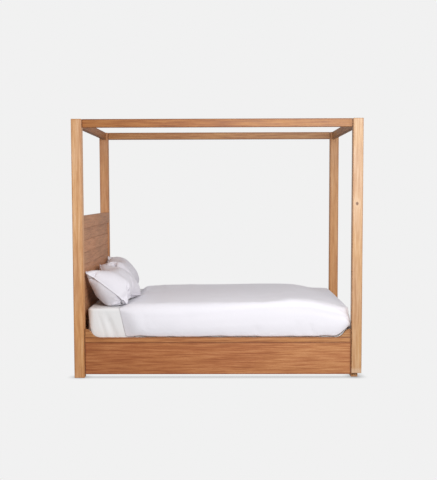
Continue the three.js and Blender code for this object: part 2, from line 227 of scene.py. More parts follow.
def buildWoodGrain(s):
    # Grain of planed timber, x along it. Broad bands and long streaks are noise drawn out along the
    # grain; a slow drift bends them a little, and another slow one shifts the hue along the piece.
    # Tone is the sum of bands, streaks and fibres round their middles: below 0 dark, above 0 light
    tree, given, result = newGroup(
        "woodGrain",
        [("Vector", "Vector"), ("Light", "Color"), ("Middle", "Color"), ("Dark", "Color"),
         ("Golden", "Color"), ("Band Width", "Float"), ("Contrast", "Float"), ("Pores", "Float")],
        [("Color", "Color"), ("Roughness", "Float"), ("Height", "Float")])
    place = given["Vector"]

    def noise(stretch, detail, rough=0.5, vector=None):
        scaled = vectorMaths(tree, "MULTIPLY", vector or place, stretch)
        return addNode(tree, "ShaderNodeTexNoise", {"Vector": scaled, "Scale": 1.0, "Detail": detail,
                                                    "Roughness": rough})

    def spread(value, start, end):
        return addNode(tree, "ShaderNodeMapRange", {"Value": value, "From Min": start,
                                                    "From Max": end}).outputs[0]

    drift = noise(s["drift"], 1.0)
    centred = vectorMaths(tree, "SUBTRACT", drift.outputs["Color"], (0.5, 0.5, 0.5))
    bent = vectorMaths(tree, "ADD", place, vectorMaths(tree, "MULTIPLY", centred, s["swerve"]))
    across = maths(tree, "DIVIDE", 1.0, given["Band Width"])
    stretch = addNode(tree, "ShaderNodeCombineXYZ", {"X": s["bandsAlong"], "Y": across, "Z": across})
    bands = noise(stretch.outputs[0], 2.0, 0.5, bent).outputs["Fac"]
    streaks = noise(s["streaks"], 3.0, 0.62, bent).outputs["Fac"]
    fibres = noise(s["fibres"], 2.0, 0.6, bent).outputs["Fac"]
    dashes = noise(s["dashes"], 1.0, 0.5, bent).outputs["Fac"]
    hue = noise(s["hue"], 1.0).outputs["Fac"]
    pores = maths(tree, "MULTIPLY", spread(dashes, s["poreFrom"], s["poreTo"]), given["Pores"])
    tone = 0.0
    for layer, share in zip((bands, streaks, fibres), s["shares"]):
        tone = maths(tree, "MULTIPLY_ADD", maths(tree, "SUBTRACT", layer, 0.5), share, tone)
    tone = maths(tree, "MULTIPLY", tone, given["Contrast"])
    golden = spread(hue, s["goldenFrom"], s["goldenTo"])
    colour = mixColours(tree, golden, given["Middle"], given["Golden"])
    colour = mixColours(tree, spread(tone, s["toneFrom"], -s["toneTo"]), colour, given["Dark"])
    colour = mixColours(tree, spread(tone, -s["toneFrom"], s["toneTo"]), colour, given["Light"])
    tree.links.new(mixColours(tree, pores, colour, given["Dark"]), result["Color"])
    smoothest, inStreaks, inPores = s["roughness"]
    rough = maths(tree, "MULTIPLY_ADD", streaks, inStreaks, smoothest)
    tree.links.new(maths(tree, "MULTIPLY_ADD", pores, inPores, rough), result["Roughness"])
    height = maths(tree, "MULTIPLY_ADD", fibres, s["relief"][0], streaks)
    tree.links.new(maths(tree, "MULTIPLY_ADD", pores, s["relief"][1], height), result["Height"])
    return tree


def buildPaintedEdgeShade():
    # Painted shade along the arrises of a squared timber: 1 where two distances to its faces are short,
    # for the product of two nearnesses is large only there; noise makes the band wider and narrower
    tree, given, result = newGroup(
        "paintedEdgeShade",
        [("Vector", "Vector"), ("Centre", "Vector"), ("Half Size", "Vector"), ("Width", "Float")],
        [("Mask", "Float")])
    offset = vectorMaths(tree, "SUBTRACT", given["Vector"], given["Centre"])
    offset = vectorMaths(tree, "ABSOLUTE", offset)
    inside = vectorMaths(tree, "SUBTRACT", given["Half Size"], offset)
    parts = addNode(tree, "ShaderNodeSeparateXYZ", {"Vector": inside})
    patchy = addNode(tree, "ShaderNodeTexNoise", {"Vector": given["Vector"], "Scale": 16.0,
                                                  "Detail": 3.0})
    spread = maths(tree, "MULTIPLY", given["Width"],
                   maths(tree, "MULTIPLY_ADD", patchy.outputs["Fac"], 1.6, 0.2))
    near = [addNode(tree, "ShaderNodeMapRange",
                    {"Value": parts.outputs[i], "From Min": spread, "From Max": 0.0}).outputs[0]
            for i in range(3)]
    pairs = [maths(tree, "MULTIPLY", near[i], near[(i + 1) % 3]) for i in range(3)]
    edge = maths(tree, "MAXIMUM", maths(tree, "MAXIMUM", pairs[0], pairs[1]), pairs[2])
    tree.links.new(edge, result["Mask"])
    return tree


def buildKnot():
    # A small knot: 1 inside its ellipse, and the grain's own place is drawn towards its centre
    # round about, which pushes the streaks aside
    tree, given, result = newGroup(
        "knot",
        [("Vector", "Vector"), ("Centre", "Vector"), ("Size", "Vector")],
        [("Mask", "Float"), ("Vector", "Vector")])
    away = vectorMaths(tree, "SUBTRACT", given["Vector"], given["Centre"])
    scaled = vectorMaths(tree, "DIVIDE", away, given["Size"])
    length = addNode(tree, "ShaderNodeVectorMath", {0: scaled}, operation="LENGTH")
    core = addNode(tree, "ShaderNodeMapRange", {"Value": length.outputs["Value"], "From Min": 1.15,
                                                "From Max": 0.55}, interpolation_type="SMOOTHSTEP")
    push = addNode(tree, "ShaderNodeMapRange", {"Value": length.outputs["Value"], "From Min": 4.0,
                                                "From Max": 0.0}, interpolation_type="SMOOTHSTEP")
    moved = vectorMaths(tree, "SCALE", away)
    tree.links.new(push.outputs[0], moved.node.inputs["Scale"])
    tree.links.new(core.outputs[0], result["Mask"])
    tree.links.new(vectorMaths(tree, "SUBTRACT", given["Vector"], moved), result["Vector"])
    return tree


def buildWeave():
    # Plain weave: the product of two sines at right angles, thick and thin threads as noise, and a
    # slow cloudiness of tone
    tree, given, result = newGroup(
        "weave",
        [("Vector", "Vector"), ("Threads", "Float"), ("Color", "Color"), ("Variation", "Float")],
        [("Color", "Color"), ("Height", "Float")])
    scaled = vectorMaths(tree, "SCALE", given["Vector"])
    tree.links.new(given["Threads"], scaled.node.inputs["Scale"])
    parts = addNode(tree, "ShaderNodeSeparateXYZ", {"Vector": scaled})
    lengthways = maths(tree, "ADD", parts.outputs[0], maths(tree, "MULTIPLY", parts.outputs[2], 0.5))
    crossways = maths(tree, "ADD", parts.outputs[1], maths(tree, "MULTIPLY", parts.outputs[2], 0.8))
    warp = maths(tree, "SINE", lengthways)
    weft = maths(tree, "SINE", crossways)
    threads = maths(tree, "MULTIPLY_ADD", maths(tree, "MULTIPLY", warp, weft), 0.5, 0.5)
    slub = addNode(tree, "ShaderNodeTexNoise", {"Vector": given["Vector"], "Scale": 90.0,
                                                "Detail": 3.0})
    cloudy = addNode(tree, "ShaderNodeTexNoise", {"Vector": given["Vector"], "Scale": 4.0,
                                                  "Detail": 2.0})
    shade = maths(tree, "ADD", maths(tree, "MULTIPLY", slub.outputs["Fac"], 0.5),
                  maths(tree, "MULTIPLY", cloudy.outputs["Fac"], 0.5))
    shade = maths(tree, "MULTIPLY_ADD", maths(tree, "SUBTRACT", shade, 0.5), given["Variation"], 1.0)
    colour = vectorMaths(tree, "SCALE", given["Color"])
    tree.links.new(shade, colour.node.inputs["Scale"])
    tree.links.new(colour, result["Color"])
    tree.links.new(maths(tree, "MULTIPLY_ADD", slub.outputs["Fac"], 0.7, threads), result["Height"])
    return tree


woodGrain = buildWoodGrain(grainSettings)
paintedEdgeShade = buildPaintedEdgeShade()
knot = buildKnot()
weave = buildWeave()


# timber finishes: shades of the wood, width of its bands in metres, and how much each effect shows;
# edge is a painted shade colour for the arrises; a drift tints the wood along one axis, from one
# place to another, as a painted light gradient: paler towards the foot on rails and panels, darker
# towards the floor on posts

timberFinishes = {
    "post": {"light": (0.72, 0.47, 0.285), "middle": (0.59, 0.325, 0.165), "dark": (0.41, 0.18, 0.075),
             "golden": (0.61, 0.33, 0.145), "edge": (0.40, 0.165, 0.06),
             "band": 0.018, "contrast": 1.0, "pores": 0.5, "gloss": 0.45, "edgeShadeAmount": 0.8,
             "drift": ("Z", 1.75, 0.15, (0.94, 0.83, 0.67))},
    "rail": {"light": (0.53, 0.27, 0.115), "middle": (0.39, 0.158, 0.052), "dark": (0.23, 0.075, 0.022),
             "golden": (0.43, 0.185, 0.058), "edge": (0.20, 0.065, 0.02),
             "band": 0.014, "contrast": 1.1, "pores": 0.5, "gloss": 0.45, "edgeShadeAmount": 0.8,
             "drift": ("X", -0.2, 1.05, (1.02, 1.14, 1.24))},
    "panel": {"light": (0.55, 0.265, 0.115), "middle": (0.40, 0.150, 0.053), "dark": (0.26, 0.08, 0.025),
              "golden": (0.43, 0.175, 0.062), "edge": (0.20, 0.055, 0.018),
              "band": 0.012, "contrast": 1.15, "pores": 0.7, "gloss": 0.4, "edgeShadeAmount": 0.7,
              "drift": ("X", -0.4, 1.05, (1.18, 1.42, 1.66))},
    "board": {"light": (0.64, 0.345, 0.19), "middle": (0.53, 0.245, 0.122), "dark": (0.31, 0.125, 0.06),
              "golden": (0.47, 0.225, 0.112), "edge": (0.30, 0.125, 0.06),
              "band": 0.016, "contrast": 0.9, "pores": 0.5, "gloss": 0.3, "edgeShadeAmount": 0.15},
    "slat": {"light": (0.74, 0.56, 0.36), "middle": (0.66, 0.48, 0.29), "dark": (0.52, 0.34, 0.18),
             "golden": (0.68, 0.50, 0.28), "edge": (0.56, 0.38, 0.21),
             "band": 0.020, "contrast": 0.7, "pores": 0.3, "gloss": 0.2, "edgeShadeAmount": 0.5},
}
timberSettings = {
    "edgeWidth": 0.010,
    "variation": 0.05,  # of tone, from piece to piece
    "shifts": (1.73, 0.37, 0.61),  # how far the grain moves from one piece to the next
    "endGrain": 0.5,  # how dark the sawn ends are
    "endGrainRough": 0.2,
    "bump": 0.25,
    "bumpDepth": 0.0008,
}
grainTurns = {"x": (0.0, 0.0, 0.0), "y": (0.0, 0.0, -math.pi / 2), "z": (0.0, math.pi / 2, 0.0)}
# tints of single pieces, partly their own tone and partly painted light: the near posts paler and the
# far posts darker and browner, as the light falls on them
pieceTints = {
    "post_foot_left": (0.93, 1.05, 1.20), "post_head_left": (1.10, 1.12, 1.14),
    "post_foot_right": (0.99, 0.92, 0.80), "post_head_right": (1.00, 0.88, 0.79),
    "canopy_rail_left": (0.90, 0.79, 0.58), "canopy_rail_right": (1.14, 1.18, 1.20),
    "canopy_rail_head": (0.92, 0.86, 0.80), "canopy_rail_foot": (0.92, 0.86, 0.80),
    "side_rail_cap_left": (1.06, 0.96, 0.90), "side_rail_left": (0.95, 0.82, 0.72),
}
knotSettings = {"piece": "post_foot_left", "place": (1.066, -0.819, 1.343),
                "size": (0.012, 0.02, 0.015), "colour": (0.13, 0.045, 0.02, 1.0), "depth": 0.85}
# the lowest part of these is paler, between two heights
footBandSettings = {"pieces": ("post_foot_left", "post_foot_right"), "high": 0.085, "low": 0.055,
                 "mix": 0.45}


def setSockets(tree, node, values):
    for label, value in values.items():
        if isinstance(value, bpy.types.NodeSocket):
            tree.links.new(value, node.inputs[label])
        else:
            node.inputs[label].default_value = value


def timberMaterial(node, finish, grain, order):
    # one timber's own cut of the wood: the grain is shifted and its tone varied from piece to piece
    s = {**timberSettings, **timberFinishes[finish]}
    low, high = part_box(node)
    material = bpy.data.materials.new(node + "_wood")
    material.use_nodes = True
    tree = material.node_tree
    shader = tree.nodes["Principled BSDF"]
    place = addNode(tree, "ShaderNodeTexCoord").outputs["Object"]
    tint = pieceTints.get(node, [1.0 + s["variation"] * math.sin(order * 2.4)] * 3)
    shades = {key: tuple(c * t for c, t in zip(s[key], tint)) + (1.0,)
              for key in ("light", "middle", "dark", "golden", "edge")}
    grainPlace = place
    knotted = node == knotSettings["piece"]
    if knotted:
        knotNode = addNode(tree, "ShaderNodeGroup", node_tree=knot)
        setSockets(tree, knotNode, {"Vector": place, "Centre": knotSettings["place"],
                                    "Size": knotSettings["size"]})
        grainPlace = knotNode.outputs["Vector"]
    along, across, through = s["shifts"]
    shift = (order * along, order * across % 1.9, order * through % 2.3)
    turned = addNode(tree, "ShaderNodeMapping", {"Vector": grainPlace, "Rotation": grainTurns[grain],
                                                 "Location": shift})
    grainNode = addNode(tree, "ShaderNodeGroup", node_tree=woodGrain)
    setSockets(tree, grainNode, {
        "Vector": turned.outputs[0], "Light": shades["light"], "Middle": shades["middle"],
        "Dark": shades["dark"], "Golden": shades["golden"], "Band Width": s["band"],
        "Contrast": s["contrast"], "Pores": s["pores"]})
    edges = addNode(tree, "ShaderNodeGroup", node_tree=paintedEdgeShade)
    setSockets(tree, edges, {"Vector": place, "Centre": (low + high) / 2, "Half Size": (high - low) / 2,
                             "Width": s["edgeWidth"]})
    # painted shade: the arrises darkened towards the edge colour
    paintedEdgeShadeMix = maths(tree, "MULTIPLY", edges.outputs["Mask"], s["edgeShadeAmount"])
    colour = mixColours(tree, paintedEdgeShadeMix, grainNode.outputs["Color"], shades["edge"])
    facing = vectorMaths(tree, "ABSOLUTE", addNode(tree, "ShaderNodeNewGeometry").outputs["True Normal"])
    ends = addNode(tree, "ShaderNodeSeparateXYZ", {"Vector": facing}).outputs["xyz".index(grain)]
    endGrain = maths(tree, "GREATER_THAN", ends, 0.9)
    colour = mixColours(tree, maths(tree, "MULTIPLY", endGrain, s["endGrain"]), colour, shades["dark"])
    if knotted:
        ring = maths(tree, "MULTIPLY", knotNode.outputs["Mask"], knotSettings["depth"])
        colour = mixColours(tree, ring, colour, knotSettings["colour"])
    parts = addNode(tree, "ShaderNodeSeparateXYZ", {"Vector": place})
    # painted light: the wood tinted along one axis, paler towards the foot on rails and panels and
    # darker towards the floor on posts
    if "drift" in s:
        axis, start, end, change = s["drift"]
        paintedLightRamp = addNode(tree, "ShaderNodeMapRange", {"Value": parts.outputs[axis], "From Min": start,
                                                       "From Max": end})
        paintedLitColour = vectorMaths(tree, "MULTIPLY", colour, change)
        colour = mixColours(tree, paintedLightRamp.outputs[0], colour, paintedLitColour)
    if node in footBandSettings["pieces"]:
        # the foot of these posts made paler between two heights
        paleBand = addNode(tree, "ShaderNodeMapRange",
                         {"Value": parts.outputs["Z"], "From Min": footBandSettings["high"],
                          "From Max": footBandSettings["low"]}, interpolation_type="SMOOTHSTEP")
        mask = maths(tree, "MULTIPLY", paleBand.outputs[0], footBandSettings["mix"])
        colour = mixColours(tree, mask, colour, shades["light"])
    tree.links.new(colour, shader.inputs["Base Color"])
    rough = maths(tree, "MULTIPLY_ADD", endGrain, s["endGrainRough"], grainNode.outputs["Roughness"])
    tree.links.new(rough, shader.inputs["Roughness"])
    bump = addNode(tree, "ShaderNodeBump", {"Height": grainNode.outputs["Height"],
                                            "Strength": s["bump"], "Distance": s["bumpDepth"]})
    tree.links.new(bump.outputs[0], shader.inputs["Normal"])
    shader.inputs["Specular IOR Level"].default_value = s["gloss"]
    return material


# how a node's name begins, its finish and the axis its grain runs along
timberKinds = (
    ("post_", "post", "z"), ("foot_block_", "post", "z"),
    ("canopy_rail_head", "rail", "y"), ("canopy_rail_foot", "rail", "y"), ("canopy_rail_", "rail", "x"),
    ("side_rail_cap", "rail", "x"), ("corner_bracket", "rail", "x"), ("foot_panel_cap", "rail", "y"),
    ("side_rail_", "panel", "x"), ("foot_panel", "panel", "y"), ("headboard_", "board", "y"),
    ("centre_leg", "slat", "z"), ("slat_ledger", "slat", "x"), ("centre_beam", "slat", "x"),
    ("slat_", "slat", "y"),
)


def finishFor(node):
    # the first row that fits; steel and plastic have none
    fits = [kind[1:] for kind in timberKinds if node.startswith(kind[0])]
    return fits[0] if fits else (None, None)


steelSettings = {"colour": (0.045, 0.045, 0.048), "roughness": 0.42}
glideSettings = {"colour": (0.022, 0.022, 0.023), "roughness": 0.5}


def mouldedMaterial(name, s):
    # satin paint or moulded plastic: even colour, darker and lighter by a fine noise
    material = bpy.data.materials.new(name)
    material.use_nodes = True
    tree = material.node_tree
    shader = tree.nodes["Principled BSDF"]
    place = addNode(tree, "ShaderNodeTexCoord").outputs["Object"]
    mottle = addNode(tree, "ShaderNodeTexNoise", {"Vector": place, "Scale": 400.0, "Detail": 4.0})
    shade = mixColours(tree, mottle.outputs["Fac"], tuple(0.8 * c for c in s["colour"]) + (1,),
                       tuple(1.25 * c for c in s["colour"]) + (1,))
    tree.links.new(shade, shader.inputs["Base Color"])
    tree.links.new(maths(tree, "MULTIPLY_ADD", mottle.outputs["Fac"], 0.2, s["roughness"] - 0.1),
                   shader.inputs["Roughness"])
    bump = addNode(tree, "ShaderNodeBump", {"Height": mottle.outputs["Fac"], "Strength": 0.15,
                                            "Distance": 0.0005})
    tree.links.new(bump.outputs[0], shader.inputs["Normal"])
    return material


def finishTimbers():
    steel = mouldedMaterial("black_steel", steelSettings)
    plastic = mouldedMaterial("black_glide", glideSettings)
    for order, (name, piece) in enumerate(sorted(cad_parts.items())):
        finish, grain = finishFor(name)
        if finish:
            material = timberMaterial(name, finish, grain, order)
        elif name.startswith(("beam_hanger", "rail_angle")):
            material = steel
        else:
            material = plastic
        piece.data.materials.clear()
        piece.data.materials.append(material)


finishTimbers()
print("timber, steel and glides finished")


# cloth finishes: threads in radians of their wave to the metre

clothFinishes = {
    "duvet": {"colour": (0.785, 0.77, 0.815), "threads": 4200.0, "variation": 0.05, "bump": 0.35},
    "pillow": {"colour": (0.725, 0.705, 0.75), "threads": 4200.0, "variation": 0.05, "bump": 0.35},
    "sheet": {"colour": (0.78, 0.775, 0.775), "threads": 4800.0, "variation": 0.05, "bump": 0.3},
    "ticking": {"colour": (0.62, 0.60, 0.56), "threads": 2600.0, "variation": 0.08, "bump": 0.4},
}
cottonSettings = {
    "crumpleScale": 22.0,
    "crumpleTwist": 0.6,
    "crumple": 0.25,
    "crumpleDepth": 0.004,
    "threadDepth": 0.0004,
    "roughness": 0.92,
    "specular": 0.2,
    "sheen": 0.12,
    "sheenRough": 0.6,
}


def clothMaterial(name):
    # the weave's colour, with its threads as a fine bump under a coarser one of small crumples
    s = {**cottonSettings, **clothFinishes[name]}
    material = bpy.data.materials.new(name + "_cotton")
    material.use_nodes = True
    tree = material.node_tree
    shader = tree.nodes["Principled BSDF"]
    woven = addNode(tree, "ShaderNodeGroup", node_tree=weave)
    place = addNode(tree, "ShaderNodeTexCoord").outputs["Object"]
    tree.links.new(place, woven.inputs["Vector"])
    woven.inputs["Threads"].default_value = s["threads"]
    woven.inputs["Color"].default_value = s["colour"] + (1.0,)
    woven.inputs["Variation"].default_value = s["variation"]
    tree.links.new(woven.outputs["Color"], shader.inputs["Base Color"])
    crumple = addNode(tree, "ShaderNodeTexNoise", {"Vector": place, "Scale": s["crumpleScale"],
                                                   "Detail": 4.0, "Distortion": s["crumpleTwist"]})
    fine = addNode(tree, "ShaderNodeBump", {"Height": woven.outputs["Height"], "Strength": s["bump"],
                                            "Distance": s["threadDepth"]})
    coarse = addNode(tree, "ShaderNodeBump",
                     {"Height": crumple.outputs["Fac"], "Strength": s["crumple"],
                      "Distance": s["crumpleDepth"], "Normal": fine.outputs[0]})
    tree.links.new(coarse.outputs[0], shader.inputs["Normal"])
    shader.inputs["Roughness"].default_value = s["roughness"]
    shader.inputs["Specular IOR Level"].default_value = s["specular"]
    shader.inputs["Sheen Weight"].default_value = s["sheen"]
    shader.inputs["Sheen Roughness"].default_value = s["sheenRough"]
    return material


# surfaces worked out as grids

def smoothStep(low, high, value):
    # 0 up to low, 1 from high on, and three squares less two cubes of the share between them
    t = np.clip((value - low) / (high - low), 0.0, 1.0)
    return t * t * (3 - 2 * t)


def gridIndex(rows, columns, first=0):
    # the number of each point of a grid, row by row
    return first + np.arange(rows * columns).reshape(rows, columns)


def gridQuads(index, wrapColumns=False):
    # corner indices of every quad between neighbouring points of a grid of point numbers
    right = np.roll(index, -1, axis=1)
    quads = np.stack([index[:-1], right[:-1], right[1:], index[1:]], axis=-1)
    if not wrapColumns:
        quads = quads[:, :-1]
    return quads.reshape(-1, 4)


def makePiece(name, points, quads, material, weld=False):
    # weld closes seams and poles, and then turns every face outwards
    mesh = bpy.data.meshes.new(name)
    mesh.from_pydata(points.reshape(-1, 3).tolist(), [], quads.tolist())
    if weld:
        shaped = bmesh.new()
        shaped.from_mesh(mesh)
        bmesh.ops.remove_doubles(shaped, verts=shaped.verts, dist=1e-5)
        bmesh.ops.recalc_face_normals(shaped, faces=shaped.faces)
        shaped.to_mesh(mesh)
        shaped.free()
    mesh.polygons.foreach_set("use_smooth", np.ones(len(mesh.polygons), bool))
    mesh.materials.append(material)
    piece = bpy.data.objects.new(name, mesh)
    scene.collection.objects.link(piece)
    return piece


def resample(line, count):
    # the same line with its points evenly spaced along its length
    steps = np.linalg.norm(np.diff(line, axis=0), axis=1)
    reach = np.concatenate([[0.0], np.cumsum(steps)])
    even = np.linspace(0.0, reach[-1], count)
    return np.stack([np.interp(even, reach, line[:, i]) for i in range(line.shape[1])], axis=1)


def inflate(piece, s, pinned=None):
    # cloth blown up by an even pressure for a few frames; gives back where its points end
    cloth = piece.modifiers.new("cloth", "CLOTH")
    settings = cloth.settings
    settings.quality = s["quality"]
    settings.mass = s["mass"]
    settings.tension_stiffness = s["stiffness"]
    settings.compression_stiffness = s["stiffness"]
    settings.shear_stiffness = s["stiffness"] * 0.4
    settings.bending_stiffness = s["bending"]
    settings.use_pressure = True
    settings.uniform_pressure_force = s["pressure"]
    settings.effector_weights.gravity = 0.0
    settings.shrink_min = -s["spare"]
    if pinned is not None:
        group = piece.vertex_groups.new(name="held")
        group.add(np.flatnonzero(pinned).tolist(), 1.0, "REPLACE")
        settings.vertex_group_mass = "held"
    for number in range(1, s["frames"] + 1):
        scene.frame_set(number)
    posed = piece.evaluated_get(bpy.context.evaluated_depsgraph_get())
    points = np.empty(len(posed.data.vertices) * 3)
    posed.data.vertices.foreach_get("co", points)
    piece.modifiers.remove(cloth)
    piece.vertex_groups.clear()
    scene.frame_set(1)
    return points.reshape(-1, 3)


def above(values, level, softness):
    # values kept over a level: the level plus half the sum of the excess and the root of its square
    # plus the softness squared, which is a smooth corner between staying and following
    over = values - level
    return level + 0.5 * (over + np.sqrt(over * over + softness * softness))


# mattress and its fitted sheet

mattressLow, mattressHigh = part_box("mattress")
mattressTop = mattressHigh.z

mattressSettings = {
    "corner": 0.052,
    "edge": 0.018,
    "clearance": 0.013,  # inside the sheet's sides
    "topGap": 0.003,
    "bottomGap": 0.001,
    "columns": 240,
    "rows": (14, 12),  # on the top, down the sides
}
sheetSettings = {
    "tuck": 0.055,
    "gap": 0.0015,
    "bottomGap": -0.0002,
    "columns": 720,
    "rows": (24, 26),
    "foldDepth": 0.011,
    "foldCount": 29,
    "foldSlant": 9.0,
    "foldReach": 0.13,  # how far from a corner the elastic gathers the cloth
}


def roundOutline(halfLength, halfWidth, radius, count):
    # closed rectangle with round corners, evenly spaced points, anticlockwise from its head end
    turns = np.linspace(0, math.pi / 2, 12)
    parts = []
    for quarter in range(4):
        angle = turns + math.pi + quarter * math.pi / 2
        sign = ((-1, -1), (1, -1), (1, 1), (-1, 1))[quarter]
        parts.append(np.stack([sign[0] * (halfLength - radius) + radius * np.cos(angle),
                               sign[1] * (halfWidth - radius) + radius * np.sin(angle)], axis=1))
    loop = np.concatenate(parts + [parts[0][:1]])
    return resample(loop, count + 1)[:-1]


def outwards(outline, closed=True):
    # unit normals of an anticlockwise outline, pointing out of it
    ahead = np.roll(outline, -1, axis=0) - np.roll(outline, 1, axis=0)
    if not closed:
        ahead[0] = outline[1] - outline[0]
        ahead[-1] = outline[-1] - outline[-2]
    ahead /= np.linalg.norm(ahead, axis=1)[:, None]
    return np.stack([ahead[:, 1], -ahead[:, 0]], axis=1)


def boxRows(top, bottom, edge, tuck, topRows, sideRows):
    # profile of a soft box from its rounded top edge down to the tuck under it: (inset, height) rows
    over = np.linspace(0, math.pi / 2, 7)
    rows = [(edge * (1 - math.sin(a)), top - edge * (1 - math.cos(a))) for a in over]
    rows += [(0.0, z) for z in np.linspace(top - edge, bottom + edge, sideRows)[1:-1]]
    rows += [(edge * (1 - math.cos(a)), bottom + edge * (1 - math.sin(a))) for a in over]
    rows += [(edge + tuck * f, bottom) for f in (0.35, 0.7, 1.0)]
    return [(None, f) for f in np.linspace(0.0, 1.0, topRows)[:-1]] + rows


def boxSurface(outline, normals, halfSize, rows, top):
    # each row is the outline set in by its inset at its height; top rows run outwards from a spine,
    # the line that is half a width away from both ends
    halfLength, halfWidth = halfSize
    spine = np.column_stack([np.clip(outline[:, 0], halfWidth - halfLength, halfLength - halfWidth),
                             np.zeros(len(outline))])
    first = next(inset for inset, _ in rows if inset is not None)
    rim = outline - normals * first
    levels = []
    for inset, value in rows:
        if inset is None:
            flat = spine + (rim - spine) * value
            levels.append(np.column_stack([flat, np.full(len(flat), top)]))
        else:
            flat = outline - normals * inset
            levels.append(np.column_stack([flat, np.full(len(flat), value)]))
    return np.array(levels)


def makeMattress(s):
    # the soft box of rows above, closed underneath by its top rows taken in reverse
    halfSize = (mattressHigh.x - s["clearance"], mattressHigh.y - s["clearance"])
    outline = roundOutline(*halfSize, s["corner"], s["columns"])
    normals = outwards(outline)
    top, bottom = mattressTop - s["topGap"], mattressLow.z + s["bottomGap"]
    topRows, sideRows = s["rows"]
    rows = boxRows(top, bottom, s["edge"], 0.0, topRows, sideRows)
    points = boxSurface(outline, normals, halfSize, rows, top)
    lower = points[:topRows][::-1].copy()
    lower[:, :, 2] = bottom
    points = np.concatenate([points, lower])
    quads = gridQuads(gridIndex(len(points), len(outline)), wrapColumns=True)
    mattress = makePiece("mattress_body", points, quads, clothMaterial("ticking"), weld=True)
    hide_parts("mattress")
    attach(mattress, "frame")


def makeFittedSheet(s, m):
    # the same box just outside the mattress, open underneath; its sides are drawn in along folds,
    # sines of the way round the outline that slant with height and deepen towards the corners
    halfSize = (mattressHigh.x - s["gap"], mattressHigh.y - s["gap"])
    top, bottom = mattressTop - s["gap"], mattressLow.z + s["bottomGap"]
    outline = roundOutline(*halfSize, m["corner"], s["columns"])
    normals = outwards(outline)
    rows = boxRows(top, bottom, m["edge"], s["tuck"], *s["rows"])
    points = boxSurface(outline, normals, halfSize, rows, top)
    around = np.linspace(0, 2 * math.pi, s["columns"], endpoint=False)
    fromCorner = (halfSize - np.abs(outline)).sum(1)
    gather = np.exp(-fromCorner / s["foldReach"])
    height = points[:, :, 2]
    slant = s["foldSlant"] * (height - bottom) * np.sign(outline[:, 0] * outline[:, 1])
    phase = around * s["foldCount"] + slant + 1.3 * np.sin(around * 9)
    folds = np.sin(phase) * (0.10 + gather) + 0.9 * np.sin(phase * 3.1 + 2.0) * gather
    drop = smoothStep(top - 0.004, bottom + 0.14, height)
    inward = -s["foldDepth"] * np.clip(folds, 0, 1) * drop * (height > bottom + 0.002)
    points[:, :, :2] += inward[:, :, None] * normals
    quads = gridQuads(gridIndex(len(points), s["columns"]), wrapColumns=True)
    sheet = makePiece("fitted_sheet", points, quads, clothMaterial("sheet"), weld=True)
    # cut flat it is the top with its depth and tuck on every side, less four corner squares
    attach(sheet, "frame")


makeMattress(mattressSettings)
makeFittedSheet(sheetSettings, mattressSettings)
print("mattress and fitted sheet made")


# duvet

bracketLow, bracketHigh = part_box("corner_bracket_foot_left")
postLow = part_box("post_foot_left")[0]
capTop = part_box("side_rail_cap_left")[1].z

duvetSettings = {
    "head": -0.766,  # its edge on the mattress, at the left
    "headSkew": 0.055,  # how far that edge moves footwards across the bed
    "headSlant": 0.050,  # and down the sides
    "headTaper": 0.125,  # how far from the edge it reaches its full thickness
    "headThin": 0.008,
    "half": 0.797,
    "footReach": 1.0285,
    "footBulge": 0.021,
    "corner": 0.034,
    "innerCorner": 0.060,
    "innerShoulder": 0.0185,
    "crownPeak": 0.5815,  # height of the top, where along the bed, and how it falls from there
    "crownAt": 0.22,
    "crownFall": 0.020,
    "footFall": 0.026,
    "fullCorner": 0.029,
    "cornerFall": 0.036,
    "dips": 0.004,
    "shoulders": (0.100, 0.042, 0.110),  # radius at the head, along the sides by the foot, at the foot
    "sideSwell": 0.006,
    "hemTuck": 0.013,
    "hemLift": 0.0075,
    "lip": 0.0025,
    "columns": 188,
    "rows": (34, 11, 15),  # on the top, over the shoulder, down the side
    "cloth": {"quality": 5, "mass": 0.25, "stiffness": 9.0, "bending": 0.12, "pressure": 1.4,
              "spare": 0.012, "frames": 14},
    "most": 0.007,  # that a point may move in the simulation
    "widest": 0.8015,  # half width inside the side rails
    "beforePost": (0.735, 1.0295),  # past this half width it stays short of this length
    "crumple": 0.0035,
}
# upright creases in its side: place along the bed, width, lowest, highest, depth
duvetCreases = (
    (0.996, 0.009, 0.44, 0.56, 0.012),
    (-0.570, 0.012, 0.36, 0.52, 0.005),
    (-0.530, 0.012, 0.38, 0.52, 0.004),
    (0.30, 0.020, 0.33, 0.42, 0.005),
    (0.62, 0.016, 0.33, 0.46, 0.006),
    (0.72, 0.014, 0.33, 0.44, 0.006),
)


def duvetPlan(s, reach, half, corner, bulge):
    # from the head edge down the left side, round the foot and back up the right side
    turn = np.linspace(0, math.pi / 2, 14)
    left = np.column_stack([reach - corner + corner * np.sin(turn),
                            -half + corner - corner * np.cos(turn)])
    right = left[::-1] * (1, -1)
    line = np.concatenate([[[s["head"], -half]], left, right, [[s["head"], half]]])
    line = resample(line, s["columns"])
    atFoot = smoothStep(reach - corner - 0.02, reach - 0.004, line[:, 0])
    line[:, 0] += bulge * atFoot * smoothStep(0.725, 0.60, np.abs(line[:, 1]))
    return line


